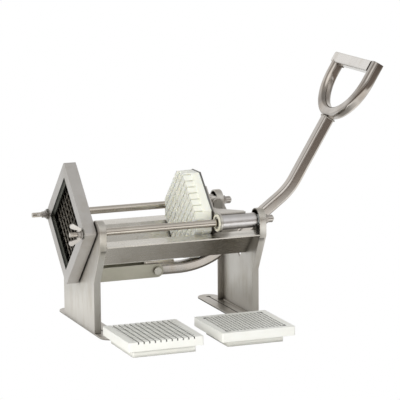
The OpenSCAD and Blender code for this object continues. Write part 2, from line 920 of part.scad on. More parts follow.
// The lugs reach from the middle of the tube up to the carriage pivot.
module lever_lugs() {
    run = [cos(lower_turn), sin(lower_turn)];
    back = lug_foot();
    front = back - lug_foot_len * run;
    color(STEEL) difference() {
        for (y0 = [-tube / 2 - lug_t, tube / 2]) along_y(y0, lug_t) {
            polygon([
                tangent(pivot, back), back, front, pivot - [lug_r, 0], pivot
            ]);
            translate(pivot) circle(lug_r);
        }
        bar_y(pivot_pin_d, -tube, tube, pivot);
    }
}

// Where the line from point q touches the lug's round end, on its rear side.
function tangent(p, q) =
    let (d = norm(q - p), a = atan2(q[1] - p[1], q[0] - p[0]) + acos(lug_r / d))
        p + lug_r * [cos(a), sin(a)];

// The rear end of the lugs' feet, on the tube's centre line.
function lug_foot() = bend_end() + (lug_foot_len - 12) * [cos(lower_turn), sin(lower_turn)];

// The pivot bolts end flush with the inner faces of the lugs.
module pivot_bolts() {
    color(DULL_STEEL) for (turn = [0, 180]) rotate_about(pivot, turn) {
        bar_y(pivot_pin_d, tube / 2, tube / 2 + lug_t, pivot);
        bar_y(pivot_pin_d + 4, tube / 2 + lug_t, tube / 2 + lug_t + pivot_head_h, pivot);
    }
}

// Turns children about the vertical line through the [x, z] point p.
module rotate_about(p, angle) {
    translate([p[0], 0, 0]) rotate([0, 0, angle]) translate([-p[0], 0, 0]) children();
}

// A half-round rib with a domed end stiffens the lever's lower end.
module lever_rib() {
    base = elbow[1] + tube / 2;
    x0 = elbow[0] - rib_lead + rib_d / 2;
    color(STEEL) intersection() {
        union() {
            bar_x(rib_d, x0, bend_start()[0] - rib_short, 0, base);
            translate([x0, 0, base]) sphere(d = rib_d);
        }
        translate([x0 - rib_d, -rib_d, base]) cube([4 * tube, 2 * rib_d, rib_d]);
    }
}

module handle_bow() {
    centre = bow_r + tube / 2;
    color(STEEL) at_lever_top() translate([centre, 0, 0]) {
        rotate([0, 0, 90]) rotate_extrude(angle = 180, $fn = 180)
            translate([bow_r, 0]) tube_section();
        for (side = [-1, 1]) translate([0, side * bow_r, 0]) {
            straight(limb_len);
            translate([limb_len - tube_wall, 0, 0]) rotate([90, 0, 90])
                linear_extrude(tube_wall) square(tube - 2 * tube_wall + 0.2, center = true);
        }
    }
}

module handle_bar() {
    len = 2 * bow_r - tube;
    color(STEEL) at_lever_top()
        translate([bow_r + limb_len, len / 2, 0]) rotate([90, 0, 0])
            linear_extrude(len) tube_section();
}

/* ---------- spare pushers ---------- */

// A loose pusher lying studs up: a plate on a narrower boss, with crossed
// grooves of depth deep. Those along Y are run long. gap is the distance from
// the foot.
module spare_pusher(x, gap, pitch, groove, deep, run, inset) {
    field = pusher_side - 2 * spare_rim;
    boss = pusher_side - 2 * inset;
    count = floor(field / 2 / pitch);
    y = -(bolt_spacing + foot_depth + pusher_side) / 2 - gap;
    top = spare_boss_h + spare_plate_t;
    color(NYLON) translate([x, y, 0]) difference() {
        union() {
            translate([0, 0, spare_boss_h]) linear_extrude(spare_plate_t)
                round_square(pusher_side, spare_corner_r);
            linear_extrude(spare_boss_h + 1) round_square(boss, spare_corner_r);
        }
        translate([0, 0, top - deep]) linear_extrude(deep + 1)
            for (i = [-count:count]) {
                translate([i * pitch, 0]) square([groove, run], center = true);
                translate([0, i * pitch]) square([field, groove], center = true);
            }
        children();
    }
}

module spare_pusher_medium() {
    spare_pusher(medium_x, medium_gap, medium_pitch, 2, medium_groove_h, pusher_side + 2, 10);
}

// The fine spare has a notch at each corner of its stud field.
module spare_pusher_fine() {
    field = pusher_side - 2 * spare_rim;
    spare_pusher(fine_x, fine_gap, fine_pitch, 1.4, fine_groove_h, field, 15)
        for (turn = [0:90:270]) rotate(turn)
            translate([field / 2, field / 2, spare_boss_h + spare_plate_t - notch_h])
                linear_extrude(notch_h + 1) polygon([[0, 0], [-notch, 0], [0, -notch]]);
}

front_leg();
rear_leg();
front_foot();
rear_foot();
near_guide_rod();
far_guide_rod();
rear_cap_nuts();
frame_washers();
near_wing_nut();
far_wing_nut();
near_trough_wing();
far_trough_wing();
blade_frame();
blade_cartridge();
rising_blades();
falling_blades();
cartridge_screws();
pusher_block();
backing_plate();
pusher_screws();
yoke_plate();
near_sleeve();
far_sleeve();
front_bushes();
rear_bushes();
bridge_plate();
pivot_arms();
pivot_bush();
link_bracket();
anchor_pin();
near_link_bar();
far_link_bar();
link_washers();
elbow_bolt();
elbow_nut();
lever_tube();
lever_end_plug();
elbow_bush();
lever_lugs();
pivot_bolts();
lever_rib();
handle_bow();
handle_bar();
spare_pusher_medium();
spare_pusher_fine();
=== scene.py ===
import math

import bmesh
import bpy
from mathutils import Matrix, Vector


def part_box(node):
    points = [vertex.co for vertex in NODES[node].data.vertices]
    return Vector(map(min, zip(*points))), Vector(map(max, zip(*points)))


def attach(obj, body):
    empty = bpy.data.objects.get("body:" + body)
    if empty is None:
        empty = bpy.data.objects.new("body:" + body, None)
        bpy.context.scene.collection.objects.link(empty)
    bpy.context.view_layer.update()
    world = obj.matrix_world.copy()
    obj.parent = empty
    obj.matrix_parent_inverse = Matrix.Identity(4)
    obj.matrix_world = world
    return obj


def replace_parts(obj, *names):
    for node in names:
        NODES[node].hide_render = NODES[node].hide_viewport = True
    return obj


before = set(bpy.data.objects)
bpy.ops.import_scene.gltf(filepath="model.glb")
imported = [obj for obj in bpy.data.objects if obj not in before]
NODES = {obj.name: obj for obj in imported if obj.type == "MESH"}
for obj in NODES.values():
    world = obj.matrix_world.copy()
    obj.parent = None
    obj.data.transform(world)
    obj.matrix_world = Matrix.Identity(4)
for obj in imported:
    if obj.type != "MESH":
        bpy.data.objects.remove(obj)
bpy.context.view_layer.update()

# --------------------------------------------- measures, in metres and radians

ROD_Y, ROD_Z = 0.095, 0.176             # the rods; the blade square's middle is at this height too
STUD_R = 0.004                          # the rods' threaded ends
THREAD_START, THREAD_STOP = 0.0006, 0.001   # behind the rod's tip, before the nut's rear side

# Pairs between which a colour changes over: where painted shade begins inside the legs' arms and inside
# the blade square.
ARM_SKIN = (0.0172, 0.0178)             # radius, just past the inner face of a leg arm's turned edge
WEB_SKIN = (0.1446, 0.1450)             # |x|, just past the inner face of a leg's web
ARM_FOOT = (0.140, 0.150)               # height, where a leg goes over into its arms
FRAME_MOUTH = (0.0789, 0.0791)          # |y| + |z - ROD_Z|, just past the blade frame's opening; painted shade lies inward of it
RIM_START = (0.0748, 0.0751)            # the same, half way over the cartridge's face; painted shade lies inward of it

SHELF_Z, SHELF_Y = 0.154, 0.115         # the trough's flat shelf and its outer edge
STRIP_Y, FLANGE_IN = 0.1105, 0.1352     # outside STRIP_Y the shelf ends at the legs' flanges
KNEE_Y, TOE_Y, TOE_Z = 0.072, 0.026, 0.108
TROUGH_T = 0.002

PITCH, CELLS = 0.0127, 8                # the blade grid
BLADE_T, EDGE_T, GROUND = 0.001, 0.00024, 0.0016    # thickness, at the edge, depth of the grinding
BLADE_SEAT = 0.001                      # what a blade's end runs into the cartridge's wall
GRID_BACK = -0.1460

SPARE_RIM, NOTCH = 0.011, 0.009         # the fine spare's rim, and its corner notches
NOTCH_SHADE_DEPTHS = (0.0015, 0.0002)           # the painted shade sheet's underside and top, below the studs' tips

TUBE_SIDE, LEVER_CORNER, BOW_CORNER, BAR_CORNER = 0.020, 0.0050, 0.0078, 0.0035
ELBOW = (-0.012, 0.0855)                # x and z of the bolt between link and lever
LEVER_TAIL = 0.004                      # the lever's length before the elbow
LOWER_LEN, LOWER_R, LOWER_TURN = 0.041, 0.145, math.radians(36.5)
MIDDLE_LEN = 0.1313
UPPER_LEN, UPPER_R, UPPER_TURN = 0.1193, 0.110, math.radians(22)
INTO_BOW, INTO_BAR, INTO_LIMB = 0.0015, 0.004, 0.001    # overlaps that close the welded joints
BOW_R, LIMB, BOW_STEPS = 0.072, 0.035, 48   # the bow's centre line, and its straight limbs

BOW_BEAD_R, BOW_BEAD_OUT = 0.0013, 0.0092   # a bead's radius; how far out from the lever's middle
FAR_BEAD_R, FAR_BEAD_DOWN, FAR_BEAD_LEN = 0.0012, 0.009, 0.018
NEAR_BEAD_R, NEAR_BEAD_UP, NEAR_BEAD_ENDS = 0.0010, 0.0088, (-0.009, 0.008)
FOOT_BEAD_R, FOOT_BEAD_X, FOOT_BEAD_Y = 0.0016, 0.1440, 0.072
NO_WELD = Vector((0.13, 0.57, 0.81))    # a direction that no bead runs in

CRISP = 0.0003                          # how near an end the ring that keeps its corner lies

SQUARE = ((-1, -1), (1, -1), (1, 1), (-1, 1))
SIDE = Vector((0, 1, 0))


# ---------------------------------------------------------------- shader nodes

def blank(owner, kind):
    """The emptied node tree of a material or a world, and its output's first input."""
    owner.use_nodes = True
    nt = owner.node_tree
    nt.nodes.clear()
    return nt, nt.nodes.new("ShaderNodeOutput" + kind).inputs[0]


def feed(nt, entry, value):
    """Link a socket to an input, or set the input. A colour gets its alpha here."""
    if isinstance(value, bpy.types.NodeSocket):
        nt.links.new(value, entry)
    else:
        entry.default_value = (*value, 1) if entry.type == "RGBA" else value


def node(nt, kind, inputs, **settings):
    """A shader node with its settings made and its inputs fed."""
    made = nt.nodes.new("ShaderNode" + kind)
    for name, value in settings.items():
        setattr(made, name, value)
    for key, value in inputs.items():
        feed(nt, made.inputs[key], value)
    return made


def coords(nt, scale=(1, 1, 1), rotation=(0, 0, 0)):
    place = node(nt, "TexCoord", {}).outputs["Object"]
    return node(nt, "Mapping", {"Vector": place, "Scale": scale, "Rotation": rotation}).outputs[0]


def noise(nt, vector, scale, detail, rough):
    return node(nt, "TexNoise", {"Vector": vector, "Scale": scale, "Detail": detail,
                                 "Roughness": rough}).outputs["Fac"]


def ramp(nt, value, stops):
    """The colour at a value, between stops of (value, colour)."""
    made = node(nt, "ValToRGB", {0: value})
    elements = made.color_ramp.elements
    while len(elements) > 1:
        elements.remove(elements[-1])
    for i, (at, colour) in enumerate(stops):
        stop = elements.new(at) if i else elements[0]
        stop.position = at
        stop.color = (*colour, 1)
    return made.outputs[0]


def span(nt, value, low, high, start=0.0, end=1.0):
    """A value between start and end, carried over to between low and high."""
    return node(nt, "MapRange", {"Value": value, "From Min": start, "From Max": end,
                                 "To Min": low, "To Max": high}).outputs[0]


def calc(nt, operation, *values):
    """One maths node of sockets or numbers."""
    return node(nt, "Math", dict(enumerate(values)), operation=operation).outputs[0]


def vector_calc(nt, operation, *values):
    return node(nt, "VectorMath", dict(enumerate(values)), operation=operation).outputs


def axes(nt, vector):
    """The x, y and z of a vector."""
    return node(nt, "SeparateXYZ", {0: vector}).outputs


def position(nt, origin=(0, 0, 0)):
    """Where the shaded point lies from an origin."""
    place = node(nt, "NewGeometry", {}).outputs["Position"]
    return vector_calc(nt, "SUBTRACT", place, origin)["Vector"]


def bump(nt, height, strength, distance):
    return node(nt, "Bump", {"Height": height, "Strength": strength, "Distance": distance}).outputs[0]


def crevice(nt, reach):
    """Painted shade: darker where surfaces meet, by ambient occlusion within reach."""
    return node(nt, "AmbientOcclusion", {"Distance": reach}, samples=6).outputs["AO"]


def mixed(nt, fac, a, b):
    """Colour a where fac is 0, b where it is 1. Either may be a socket or a colour."""
    made = node(nt, "Mix", {"Factor": fac}, data_type="RGBA")
    for name, value in (("A", a), ("B", b)):
        feed(nt, next(s for s in made.inputs if s.name == name and s.type == "RGBA"), value)
    return next(s for s in made.outputs if s.type == "RGBA")


def choose(nt, fac, no, yes):
    """One shader where fac is 0, another where it is 1."""
    return node(nt, "MixShader", {0: fac, 1: no, 2: yes}).outputs[0]


def glow(nt, colour, strength=1.0):
    return node(nt, "Emission", {"Color": colour, "Strength": strength}).outputs[0]


# ------------------------------------------------------------------- materials

def across_diamond(nt):
    """|y| + |z| from the blade square's middle, which is even along the square's sides."""
    _, y, z = axes(nt, position(nt, (0, 0, ROD_Z)))
    return calc(nt, "ADD", calc(nt, "ABSOLUTE", y), calc(nt, "ABSOLUTE", z))


def arm_pocket(nt):
    """Where painted shade goes: 1 inside the round arms of the legs, 0 on their outer faces and below the
    arms.
    """
    x, y, z = axes(nt, position(nt))
    aside = calc(nt, "SUBTRACT", calc(nt, "ABSOLUTE", y), ROD_Y)
    above = calc(nt, "MAXIMUM", calc(nt, "SUBTRACT", z, ROD_Z), 0.0)
    radius = calc(nt, "SQRT", calc(nt, "ADD", calc(nt, "MULTIPLY", aside, aside),
                                   calc(nt, "MULTIPLY", above, above)))
    within = span(nt, radius, 1.0, 0.0, *ARM_SKIN)
    inside = span(nt, calc(nt, "ABSOLUTE", x), 1.0, 0.0, *WEB_SKIN)
    high = span(nt, z, 0.0, 1.0, *ARM_FOOT)
    return calc(nt, "MULTIPLY", calc(nt, "MULTIPLY", within, inside), high)


WARM, BROWN = (0.44, 0.36, 0.28), (0.42, 0.37, 0.28)
GROOVE_SHADE = (0.16, 0.155, 0.13)
CREVICE_SHADE = 0.22                            # how dark the painted shade in a steel crevice gets, times its stain
ALONG_X, ALONG_Y, ALONG_Z = (0.04, 1, 1), (1, 0.05, 1), (1, 1, 0.04)
EVEN, POLISH = (1, 1, 1), (0.2, 0.2, 0.2)


def steel(name, colour, dark, rough, grain, grain_scale, grain_bump=0.0, spread=0.06,
          stain=BROWN, stained=0.35, reach=0.014, inside=None, pockets=None):
    """Stainless steel: a fine grain, drawn out along the axis with the small scale in grain, clouds
    between dark and colour, stains, and painted shade in crevices. inside is (colour, low, high): the
    colour of painted shade on what lies inside a square round the blades. pockets is the colour of painted
    shade inside the legs' arms."""
    mat = bpy.data.materials.new(name)
    nt, surface = blank(mat, "Material")
    cloud = noise(nt, coords(nt), 16, 4, 0.55)
    blots = noise(nt, coords(nt, (1, 1, 0.35), (0.1, 0.2, 0.2)), 34, 5, 0.62)
    fine = noise(nt, coords(nt, grain), grain_scale, 2, 0.6)
    base = ramp(nt, cloud, [(0.3, dark), (0.7, colour)])
    base = mixed(nt, span(nt, blots, 0.0, stained, 0.50, 0.78), base, stain)
    # painted shade inside the blade square
    if inside:
        shade_colour, low, high = inside
        base = mixed(nt, span(nt, across_diamond(nt), 0.0, 1.0, low, high), shade_colour, base)
    # painted shade inside the legs' arms
    if pockets:
        base = mixed(nt, arm_pocket(nt), base, pockets)
    # painted shade in crevices, in a dark copy of the stain colour
    shade = span(nt, crevice(nt, reach), 0.0, 1.0, 0.15, 0.85)
    base = mixed(nt, shade, tuple(CREVICE_SHADE * c for c in stain), base)
    bsdf = node(nt, "BsdfPrincipled", {
        "Base Color": base,
        "Metallic": 1.0,
        "Roughness": calc(nt, "ADD", span(nt, fine, -spread, spread),
                          span(nt, cloud, rough + 0.05, rough - 0.04)),
        "Normal": bump(nt, fine, grain_bump, 0.0004)})
    nt.links.new(bsdf.outputs[0], surface)
    return mat


def plastic(name, colour, shade, rough, pits=0.03, subsurface=0.0, reach=0.0):
    """Cloudy moulded plastic, with painted shade in its grooves where reach is given."""
    mat = bpy.data.materials.new(name)
    nt, surface = blank(mat, "Material")
    cloud = noise(nt, coords(nt), 22, 4, 0.6)
    fine = noise(nt, coords(nt), 1400, 2, 0.6)
    base = ramp(nt, cloud, [(0.25, shade), (0.65, colour)])
    if reach:
        # painted shade in the grooves
        base = mixed(nt, span(nt, crevice(nt, reach), 0.0, 1.0, 0.3, 0.95), GROOVE_SHADE, base)
    bsdf = node(nt, "BsdfPrincipled", {
        "Base Color": base,
        "Roughness": span(nt, cloud, rough - 0.05, rough + 0.07),
        "Normal": bump(nt, fine, pits, 0.0002),
        "Subsurface Weight": subsurface,
        "Subsurface Radius": (1.0, 0.95, 0.8),
        "Subsurface Scale": 0.003})
    nt.links.new(bsdf.outputs[0], surface)
    return mat


BRIGHT = {"spread": 0.02, "stain": WARM}
# the near-black pockets colour is painted shade inside the legs' arms
LEG = steel("leg_steel", (0.70, 0.685, 0.65), (0.63, 0.61, 0.575), 0.38, ALONG_Z, 1000, 0.02,
            stained=0.55, pockets=(0.03, 0.028, 0.025))
SHEET = steel("sheet_steel", (0.70, 0.685, 0.65), (0.63, 0.61, 0.575), 0.38, ALONG_Z, 1000, 0.02)
STRAP = steel("strap_steel", (0.51, 0.50, 0.43), (0.44, 0.43, 0.36), 0.36, ALONG_X, 1000, 0.01)
TROUGH = steel("trough_steel", (0.70, 0.68, 0.64), (0.63, 0.61, 0.57), 0.27, ALONG_X, 1000, 0.01)
ROUND = steel("bar_steel", (0.68, 0.64, 0.58), (0.58, 0.54, 0.49), 0.14, (0.05, 1, 1), 1300,
              stained=0.3, **BRIGHT)
NUT = steel("nut_steel", (0.66, 0.64, 0.62), (0.46, 0.44, 0.42), 0.16, EVEN, 1200,
            stained=0.3, **BRIGHT)
SLEEVE = steel("sleeve_steel", (0.76, 0.75, 0.76), (0.69, 0.68, 0.69), 0.30, EVEN, 1500, 0.05,
               spread=0.1)
BAR = steel("cross_bar_steel", (0.74, 0.72, 0.70), (0.66, 0.64, 0.62), 0.20, POLISH, 1200,
            spread=0.02)
TUBE = steel("tube_steel", (0.52, 0.49, 0.465), (0.42, 0.395, 0.37), 0.16, POLISH, 1200,
             stained=0.5, **BRIGHT)
SATIN = steel("satin_steel", (0.66, 0.64, 0.61), (0.58, 0.56, 0.53), 0.40, ALONG_Y, 1000, 0.02)
GREY = steel("backing_steel", (0.24, 0.24, 0.235), (0.19, 0.19, 0.185), 0.40, ALONG_Y, 1000, 0.02)
# the blade frame's inner walls get painted shade through inside
CAST = steel("cast_frame", (0.68, 0.665, 0.65), (0.60, 0.585, 0.57), 0.46, EVEN, 1500, 0.04,
             spread=0.04, inside=((0.14, 0.15, 0.14), *FRAME_MOUTH))
DARK = steel("cartridge_steel", (0.30, 0.30, 0.28), (0.22, 0.22, 0.20), 0.34, EVEN, 1200, 0.02)
# the cartridge's face gets painted shade inward of half way over it
RIM = steel("cartridge_rim", (1.0, 1.0, 1.0), (0.95, 0.97, 0.95), 0.20, EVEN, 1200, 0.02,
            stained=0.0, reach=0.001, inside=((0.16, 0.17, 0.16), *RIM_START))
HANDLE = steel("handle_steel", (0.60, 0.57, 0.54), (0.26, 0.235, 0.215), 0.13, POLISH, 1200,
               stained=0.5, **BRIGHT)
# the blades are darkened as painted shade deep in the grid; their ground front edges, which are real, get
# a lighter copy as a painted highlight
SHADED_BLADE = steel("blade_steel", (0.20, 0.19, 0.17), (0.14, 0.13, 0.12), 0.35, (1, 0.06, 1), 1200, 0.02)
EDGE_HIGHLIGHT = steel("blade_edge_highlight", (0.40, 0.38, 0.34), (0.30, 0.28, 0.25), 0.30, EVEN, 1200)
BOLT = steel("bolt_steel", (0.66, 0.65, 0.60), (0.58, 0.57, 0.52), 0.30, EVEN, 900, 0.01)
WELD = steel("weld_bead", (0.60, 0.58, 0.54), (0.50, 0.47, 0.42), 0.34, EVEN, 700, 0.03)
BRONZE = steel("bronze", (0.60, 0.46, 0.24), (0.52, 0.39, 0.19), 0.28, EVEN, 900, 0.01)
NYLON = plastic("white_nylon", (0.95, 0.95, 0.84), (0.93, 0.93, 0.81), 0.42, subsurface=0.5)
STUDS = plastic("studded_nylon", (0.93, 0.93, 0.88), (0.89, 0.885, 0.82), 0.42, reach=0.006)
PALE = plastic("pale_nylon", (0.93, 0.95, 0.92), (0.88, 0.90, 0.87), 0.35)
# a dark sheet put in the fine spare's notches as painted shade
NOTCH_SHADE = plastic("painted_notch_shade", (0.06, 0.06, 0.055), (0.04, 0.04, 0.035), 0.5, pits=0.08)
CREAM = plastic("cream_nylon", (0.72, 0.69, 0.57), (0.62, 0.59, 0.47), 0.40, subsurface=0.3,
                reach=0.006)

# ------------------------------------------------------------------- CAD pieces


def dress(ob, mat, width):
    """A CAD node in its material, its edges rounded by width."""
    for s in ob.material_slots:
        s.material = mat
    if not ob.material_slots:
        ob.data.materials.append(mat)
    if width:
        ob.modifiers.new("weld", "WELD").merge_threshold = 0.00001
        b = ob.modifiers.new("bevel", "BEVEL")
        b.width = width
        b.segments = 2
        b.limit_method = "ANGLE"
        b.angle_limit = math.radians(30)
        b.miter_outer = "MITER_ARC"
        ob.modifiers.new("normals", "WEIGHTED_NORMAL")


for mat, width, names in (
        (LEG, 0.0006, "front_leg rear_leg"),
        (SATIN, 0.0006, "front_foot rear_foot"),
        (GREY, 0.0006, "backing_plate"),
        (ROUND, 0, "near_guide_rod far_guide_rod lever_rib"),
        (SLEEVE, 0.0005, "near_sleeve far_sleeve"),
        (NUT, 0.0006, "rear_cap_nuts near_wing_nut far_wing_nut"),
        (DARK, 0, "frame_washers"),
        (BOLT, 0.0005, "anchor_pin elbow_bolt elbow_nut pusher_screws cartridge_screws pivot_bolts"),
        (CAST, 0.0005, "blade_frame"),
        (RIM, 0, "blade_cartridge"),
        (SHEET, 0.0006, "yoke_plate bridge_plate pivot_arms link_bracket lever_lugs"),
        (STRAP, 0, "near_link_bar far_link_bar"),
        (TUBE, 0, "lever_end_plug"),
        (NYLON, 0, "pusher_block"),
        (STUDS, 0, "spare_pusher_medium spare_pusher_fine"),
        (CREAM, 0.0005, "front_bushes link_washers"),
        (PALE, 0.0005, "rear_bushes"),
        (BRONZE, 0, "elbow_bush pivot_bush")):
    for name in names.split():
        dress(NODES[name], mat, width)


# ------------------------------------------------------------ pieces made here

def skin(bm, rings):
    """Faces from ring to ring of points, and over both ends. Gives the side faces and the ends."""
    rings = [[bm.verts.new(point) for point in ring] for ring in rings]
    sides = []
    for here, there in zip(rings, rings[1:]):
        n = len(here)
        sides.append([bm.faces.new((here[k], here[(k + 1) % n], there[(k + 1) % n], there[k]))
                      for k in range(n)])
    return sides, [bm.faces.new(rings[0][::-1]), bm.faces.new(rings[-1])]


def piece(name, bm, body, slot, *mats):
    """The finished mesh as an object on a body. slot is not used."""
    bmesh.ops.recalc_face_normals(bm, faces=bm.faces)
    me = bpy.data.meshes.new(name)
    bm.to_mesh(me)
    bm.free()
    for mat in mats:
        me.materials.append(mat)
    ob = bpy.data.objects.new(name, me)
    bpy.context.scene.collection.objects.link(ob)
    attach(ob, body)
    return ob


def beside(end, inner):
    """A frame just inside an end, which keeps the end's corner crisp."""
    centre, a_axis, b_axis = end
    gap = inner[0] - centre
    return centre + gap * min(0.5, CRISP / gap.length), a_axis, b_axis


def sweep(name, mat, body, slot, frames, profile):
    """A closed profile of (a, b) points carried along frames of (centre, a axis, b axis)."""
    frames = [frames[0], beside(frames[0], frames[1]), *frames[1:-1],
              beside(frames[-1], frames[-2]), frames[-1]]
    bm = bmesh.new()
    skin(bm, [[c + a * u + b * v for a, b in profile] for c, u, v in frames])
    ob = piece(name, bm, body, slot, mat)
    ob.data.shade_smooth()
    ob.modifiers.new("normals", "WEIGHTED_NORMAL")
    return ob


def round_square(side, radius, steps):
    """Profile of a square with round corners."""
    inner = side / 2 - radius
    points = []
    for corner in range(4):
        mid = math.radians(45 + 90 * corner)
        cx = math.copysign(inner, math.cos(mid))
        cy = math.copysign(inner, math.sin(mid))
        for k in range(steps + 1):
            a = math.radians(90 * corner + 90 * k / steps)
            points.append((cx + radius * math.cos(a), cy + radius * math.sin(a)))
    return points


def lever_line():
    """Frames of (centre, side, up) along the lever, from its lower end to inside the bow."""
    stretches = [(LOWER_LEN + LEVER_TAIL, 0), (LOWER_R, LOWER_TURN), (MIDDLE_LEN, 0),
                 (UPPER_R, UPPER_TURN), (UPPER_LEN + INTO_BOW, 0)]
    place = Vector((ELBOW[0] - LEVER_TAIL, 0, ELBOW[1]))
    angle = 0.0
    frames = [(place, SIDE, Vector((0, 0, 1)))]
    for size, turn in stretches:
        steps = 24 if turn else 4
        for k in range(1, steps + 1):
            a = angle + turn * k / steps
            if turn:
                off = Vector((math.sin(a) - math.sin(angle), 0, math.cos(angle) - math.cos(a))) * size
            else:
                off = Vector((math.cos(a), 0, math.sin(a))) * size * (k / steps)
            frames.append((place + off, SIDE, Vector((-math.sin(a), 0, math.cos(a)))))
        place = frames[-1][0]
        angle = a
    return frames


def trough_wing(label, sy):
    """Sloping wall and flat shelf of one side, without the CAD's lip."""
    replaced = label + "_trough_wing"
    low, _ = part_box(replaced)
    under = SHELF_Z - TROUGH_T
    slant = TROUGH_T / math.sqrt(2)
    knee_under = KNEE_Y + TROUGH_T * (math.sqrt(2) - 1)
    sheet = [(TOE_Y, TOE_Z), (KNEE_Y, SHELF_Z), (STRIP_Y, SHELF_Z),
             (STRIP_Y, under), (knee_under, under), (TOE_Y + slant, TOE_Z - slant)]
    strip = [(STRIP_Y, SHELF_Z), (SHELF_Y, SHELF_Z), (SHELF_Y, under), (STRIP_Y, under)]
    bm = bmesh.new()
    for outline, reach in ((sheet, -low[0]), (strip, FLANGE_IN)):
        skin(bm, [[(x, sy * y, z) for y, z in outline] for x in (-reach, reach)])
    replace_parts(piece(label + "_trough_sheet", bm, "stand", "brushed_steel", TROUGH), replaced)


def blades(name, replaced, lean):
    """One set of the diamond grid: plates with a ground front edge."""
    low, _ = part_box(replaced)
    reach = PITCH * CELLS / 2 + BLADE_SEAT
    along = Vector((0, math.cos(lean), math.sin(lean)))
    across = Vector((0, -math.sin(lean), math.cos(lean)))
    sections = ((low[0], EDGE_T / 2), (low[0] + GROUND, BLADE_T / 2), (GRID_BACK, BLADE_T / 2))
    bm = bmesh.new()
    for i in range(1, CELLS):
        mid = Vector((0, 0, ROD_Z)) + across * PITCH * (i - CELLS / 2)
        sides, ends = skin(bm, [[mid + Vector((x, 0, 0)) + along * a * reach + across * b * half
                                 for a, b in SQUARE] for x, half in sections])
        # the ground front faces take the lighter copy: a painted highlight
        for face in (*sides[0], ends[0]):
            face.material_index = 1
    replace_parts(piece(name, bm, "stand", "blade_steel", SHADED_BLADE, EDGE_HIGHLIGHT), replaced)


def shade_notches():
    """Painted shade in the corner notches of the fine spare's studs: a dark sheet in each."""
    low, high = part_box("spare_pusher_fine")
    mid_x, mid_y = (low[0] + high[0]) / 2, (low[1] + high[1]) / 2
    reach = (high[0] - low[0]) / 2 - SPARE_RIM
    corners = [(reach, reach), (reach - NOTCH, reach), (reach, reach - NOTCH)]
    bm = bmesh.new()
    for sx, sy in SQUARE:
        skin(bm, [[(mid_x + sx * x, mid_y + sy * y, high[2] - depth) for x, y in corners]
                  for depth in NOTCH_SHADE_DEPTHS])
    piece("fine_spare_painted_notch_shade", bm, "stand", "bush_nylon", NOTCH_SHADE)


def bead(name, body, points, radius, step=0.0022, ripple=0.14):
    """A weld bead along a polyline, with the ripple of its passes: four rings to a step."""
    frames = []
    for p0, p1 in zip(points, points[1:]):
        p0, p1 = Vector(p0), Vector(p1)
        along = (p1 - p0).normalized()
        a_axis = along.cross(NO_WELD).normalized()
        b_axis = along.cross(a_axis)
        count = max(2, int((p1 - p0).length / (step / 4)))
        for k in range(count + 1):
            swell = 1 + ripple * math.cos(2 * math.pi * k / 4)
            frames.append((p0.lerp(p1, k / count), a_axis * swell, b_axis * swell))
    ring = [(radius * math.cos(t), radius * math.sin(t))
            for t in (2 * math.pi * k / 10 for k in range(10))]
    return sweep(name, WELD, body, "satin_steel", frames, ring)


def thread(name, y, x0, x1, pitch=0.00125, turn_steps=28):
    """The ridge of a screw thread round a stud along X."""
    frames = []
    steps = int((x1 - x0) / pitch * turn_steps)
    for k in range(steps + 1):
        t = 2 * math.pi * k / turn_steps
        outward = Vector((0, math.cos(t), math.sin(t)))
        centre = Vector((x0 + (x1 - x0) * k / steps, y, ROD_Z)) + outward * STUD_R
        frames.append((centre, outward, Vector((1, 0, 0))))
    ridge = [(-0.0003, -0.00055), (0.0003, 0), (-0.0003, 0.00055)]
    return sweep(name, ROUND, "stand", "polished_steel", frames, ridge)


lever_frames = lever_line()
lever = sweep("lever_square_tube", TUBE, "lever", "polished_steel", lever_frames,
              round_square(TUBE_SIDE, LEVER_CORNER, 8))
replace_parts(lever, "lever_tube")

trough_wing("near", -1)
trough_wing("far", 1)
blades("rising_blade_set", "rising_blades", math.radians(45))
blades("falling_blade_set", "falling_blades", math.radians(-45))
shade_notches()

# The handle, in the directions of the lever's upper end: along it, to the far side, and up from it.
lever_end, _, up = lever_frames[-1]
along = SIDE.cross(up)
lever_top = lever_end - along * INTO_BOW
mid = lever_top + along * (BOW_R + TUBE_SIDE / 2)
bow = [(mid - SIDE * BOW_R + along * LIMB * (1 - k / 4), -SIDE, up) for k in range(5)]
for k in range(1, BOW_STEPS):
    a = math.pi * k / BOW_STEPS
    outward = -SIDE * math.cos(a) - along * math.sin(a)
    bow.append((mid + outward * BOW_R, outward, up))
far_limb = LIMB - TUBE_SIDE + INTO_BAR
bow += [(mid + SIDE * BOW_R + along * far_limb * k / 4, SIDE, up) for k in range(5)]
handle_bow = sweep("handle_bow_tube", HANDLE, "lever", "polished_steel", bow,
                   round_square(TUBE_SIDE, BOW_CORNER, 10))
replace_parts(handle_bow, "handle_bow")

bar_mid = mid + along * (LIMB - TUBE_SIDE / 2)
limb_in, limb_out = BOW_R - TUBE_SIDE / 2, BOW_R + TUBE_SIDE / 2
near_end = limb_in + INTO_LIMB
bar = [(bar_mid + SIDE * y, along, up) for y in (-near_end, -near_end / 2, 0, near_end / 2, limb_out)]
cross_bar = sweep("handle_cross_bar", BAR, "lever", "satin_steel", bar,
                  round_square(TUBE_SIDE, BAR_CORNER, 6))
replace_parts(cross_bar, "handle_bar")

